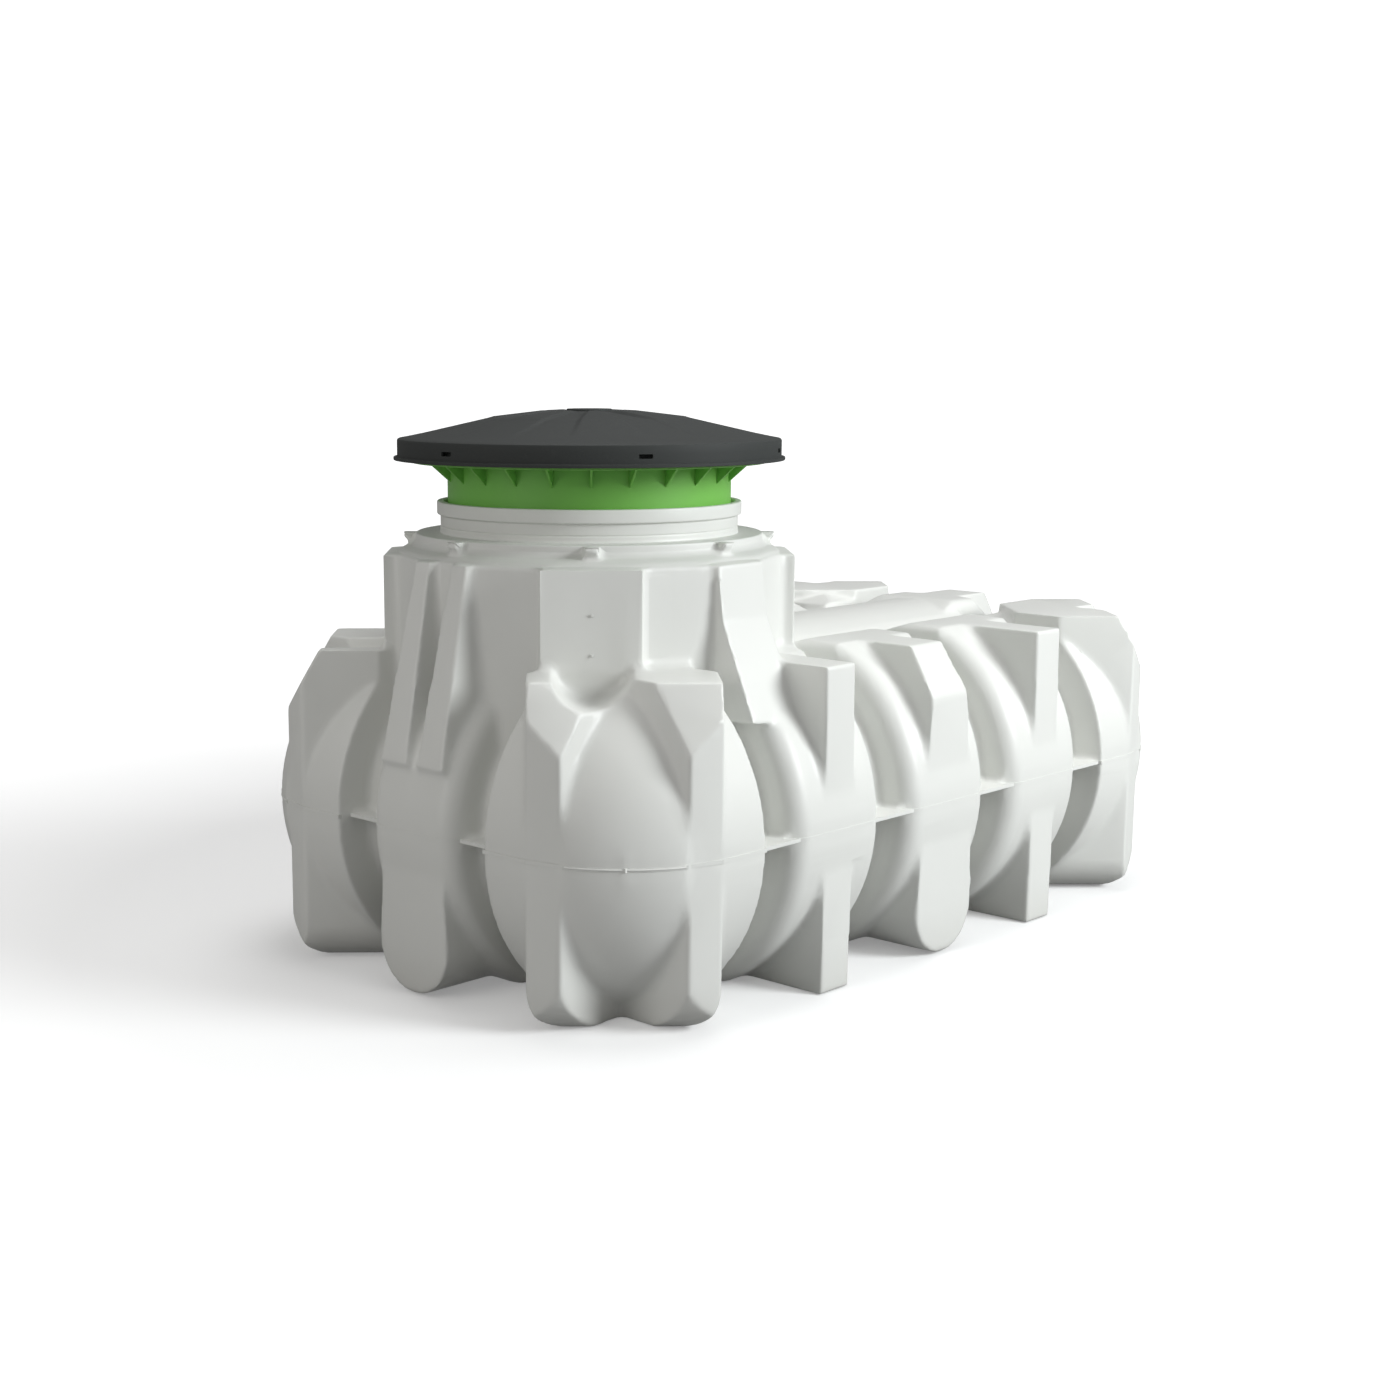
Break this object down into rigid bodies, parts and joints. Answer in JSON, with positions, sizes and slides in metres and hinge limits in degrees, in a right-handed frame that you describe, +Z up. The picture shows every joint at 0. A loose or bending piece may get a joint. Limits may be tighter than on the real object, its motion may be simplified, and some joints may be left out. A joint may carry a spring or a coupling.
{
  "type": "underground water tank",
  "caption": "Flat buried plastic water tank with round lobes and upright fins, an access tower at one end, a telescopic shaft and a lift-off lid.",
  "frame": {"origin": "centre of the footprint at ground level", "axes": "+X along the length away from the access tower, +Y to the rear side, +Z up"},
  "size_m": [2.1, 1.25, 1.213],
  "materials": {
    "tank_plastic": "satin moulded polypropylene",
    "shaft_green": "satin moulded plastic",
    "lid_grey": "fine grained dark plastic",
    "seal_rubber": "matte black rubber"
  },
  "bodies": {
    "tank": {"floor_plate": "tank_plastic", "lower_far_end_front_corner": "tank_plastic", "lower_far_end_lobe": "tank_plastic", "lower_far_end_rear_corner": "tank_plastic", "lower_front_lobe_1": "tank_plastic", "lower_front_lobe_2": "tank_plastic", "lower_front_lobe_3": "tank_plastic", "lower_rear_lobe_1": "tank_plastic", "lower_rear_lobe_2": "tank_plastic", "lower_rear_lobe_3": "tank_plastic", "lower_tower_end_front_corner": "tank_plastic", "lower_tower_end_lobe": "tank_plastic", "lower_tower_end_rear_corner": "tank_plastic", "neck_ring": "tank_plastic", "neck_seal": "seal_rubber", "seam_flange": "tank_plastic", "top_deck": "tank_plastic", "top_ridge": "tank_plastic", "tower_pad_end_front": "tank_plastic", "tower_pad_end_rear": "tank_plastic", "tower_pad_ridge_front": "tank_plastic", "tower_pad_ridge_rear": "tank_plastic", "tower_roof": "tank_plastic", "tower_wall_end": "tank_plastic", "tower_wall_front": "tank_plastic", "tower_wall_rear": "tank_plastic", "tower_wall_ridge_side": "tank_plastic", "upper_far_end_front_corner": "tank_plastic", "upper_far_end_lobe": "tank_plastic", "upper_far_end_rear_corner": "tank_plastic", "upper_front_lobe_1": "tank_plastic", "upper_front_lobe_2": "tank_plastic", "upper_front_lobe_3": "tank_plastic", "upper_rear_lobe_1": "tank_plastic", "upper_rear_lobe_2": "tank_plastic", "upper_rear_lobe_3": "tank_plastic", "upper_tower_end_front_corner": "tank_plastic", "upper_tower_end_lobe": "tank_plastic", "upper_tower_end_rear_corner": "tank_plastic"},
    "shaft": {"shaft_tube": "shaft_green", "shaft_flange": "shaft_green", "shaft_collar": "shaft_green"},
    "lid": {"lid_rim": "lid_grey", "lid_crown": "lid_grey", "lid_cap": "lid_grey"}
  },
  "joints": [
    {"name": "shaft_slide", "type": "slide", "parent": "tank", "child": "shaft", "axis": [0, 0, 1], "range_m": [-0.035, 0.2]},
    {"name": "lid_lift", "type": "slide", "parent": "shaft", "child": "lid", "axis": [0, 0, 1], "range_m": [0, 0.3]}
  ]
}
